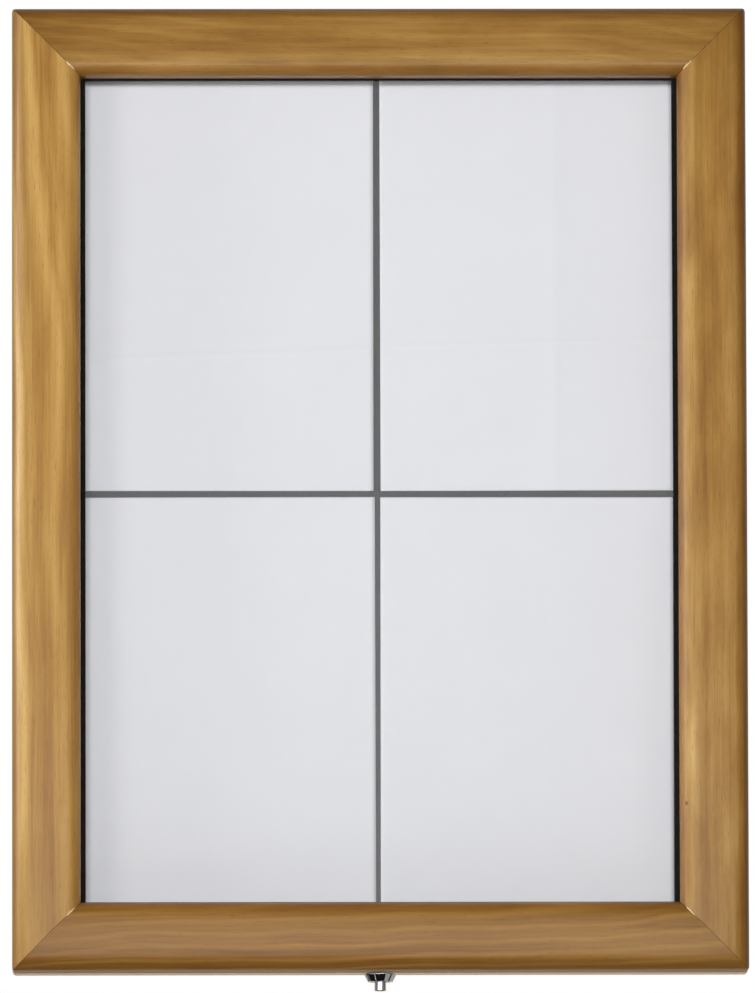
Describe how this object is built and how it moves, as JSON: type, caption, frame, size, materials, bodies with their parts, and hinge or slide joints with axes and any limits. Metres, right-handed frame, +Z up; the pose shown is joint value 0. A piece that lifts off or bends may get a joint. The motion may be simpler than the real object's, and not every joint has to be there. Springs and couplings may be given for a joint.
{
  "type": "information display case",
  "caption": "Shallow wall-mounted display case with a wooden glazed door hinged along its top, a lock in the underside and a panel that holds sheets of paper.",
  "frame": {"origin": "on the rear face, level with the centre of the door; the rear face lies on the wall", "axes": "+Z up, +X to the right seen from the front, +Y into the wall, so the front faces -Y"},
  "size_m": [0.526, 0.053, 0.7042],
  "materials": {
    "stained_pine": "satin lacquer",
    "beech": "raw",
    "anodised_aluminium": "satin anodised",
    "grey_panel": "fine matt powder coat",
    "white_paper": "matt",
    "clear_pane": "clear",
    "black_rubber": "matt",
    "black_foam": "closed-cell foam",
    "chrome": "bright plated",
    "zinc_steel": "bright zinc",
    "hinge_steel": "nickel plated"
  },
  "bodies": {
    "case": {"case_rail_top": "anodised_aluminium", "case_rail_bottom": "anodised_aluminium", "case_rail_left": "anodised_aluminium", "case_rail_right": "anodised_aluminium", "corner_keys": "zinc_steel", "corner_key_screws": "zinc_steel", "back_panel": "grey_panel", "back_panel_screws": "zinc_steel", "case_seal": "black_foam", "sheet_top_left": "white_paper", "sheet_top_right": "white_paper", "sheet_bottom_left": "white_paper", "sheet_bottom_right": "white_paper", "hinge_case_leaf": "hinge_steel", "hinge_pin": "hinge_steel", "hinge_case_screws": "hinge_steel", "lock_bezel": "chrome", "lock_housing": "zinc_steel", "lock_nut": "zinc_steel"},
    "door": {"door_rail_top": "stained_pine", "door_rail_bottom": "stained_pine", "door_stile_left": "stained_pine", "door_stile_right": "stained_pine", "mitre_biscuits": "beech", "glazing_pane": "clear_pane", "pane_gasket": "black_rubber", "pane_clips": "zinc_steel", "pane_clip_screws": "zinc_steel", "hinge_door_leaf": "hinge_steel", "hinge_door_screws": "hinge_steel", "lock_keeper": "zinc_steel", "lock_keeper_screws": "zinc_steel"},
    "lock_cylinder": {"lock_plug": "chrome", "lock_cam": "zinc_steel", "lock_cam_screw": "zinc_steel"}
  },
  "joints": [
    {"name": "door_hinge", "type": "hinge", "parent": "case", "child": "door", "pos_m": [0, -0.0217, 0.3427], "axis": [-1, 0, 0], "range_deg": [0, 135]},
    {"name": "lock_turn", "type": "hinge", "parent": "case", "child": "lock_cylinder", "pos_m": [0, -0.0115, -0.346], "axis": [0, 0, -1], "range_deg": [0, 90]}
  ]
}
